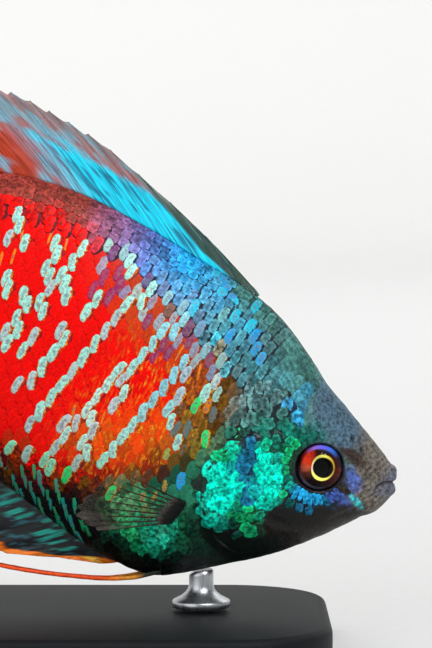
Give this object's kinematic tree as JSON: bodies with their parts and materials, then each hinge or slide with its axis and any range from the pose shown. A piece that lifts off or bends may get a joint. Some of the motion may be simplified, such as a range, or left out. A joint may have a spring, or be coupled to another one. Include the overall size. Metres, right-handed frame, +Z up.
{
  "type": "dwarf gourami fish model",
  "caption": "Life-size still model of a male dwarf gourami, head tilted down, fins and thread-like feelers trailing, held over a flat base by a short rod.",
  "frame": {"origin": "centre of the stand base's underside", "axes": "+Z up, +X towards the fish's head end, +Y to the fish's left side"},
  "size_m": [0.0775, 0.034, 0.0527],
  "materials": {
    "skin": "wet scaled skin, red flank with pale aqua slanting stripes, turquoise cheek, blue back",
    "eye": "glossy, black pupil in a thin yellow ring and a red-brown iris",
    "dorsal_fin": "cyan streaked base under a dark translucent margin",
    "anal_fin": "dark blue speckled membrane with an orange margin",
    "caudal_fin": "translucent red membrane with blue flecks",
    "pectoral_fin": "clear membrane with dark rays",
    "pelvic_feeler": "smooth red-orange thread",
    "stand_base": "satin black",
    "stand_rod": "satin steel"
  },
  "bodies": {
    "root": {"head": "skin", "trunk": "skin", "tail_stalk": "skin", "eye_left": "eye", "eye_right": "eye", "dorsal_fin": "dorsal_fin", "anal_fin": "anal_fin", "caudal_fin": "caudal_fin", "pectoral_fin_left": "pectoral_fin", "pectoral_fin_right": "pectoral_fin", "pelvic_feeler_left": "pelvic_feeler", "pelvic_feeler_right": "pelvic_feeler", "stand_base": "stand_base", "stand_rod": "stand_rod"}
  },
  "joints": []
}
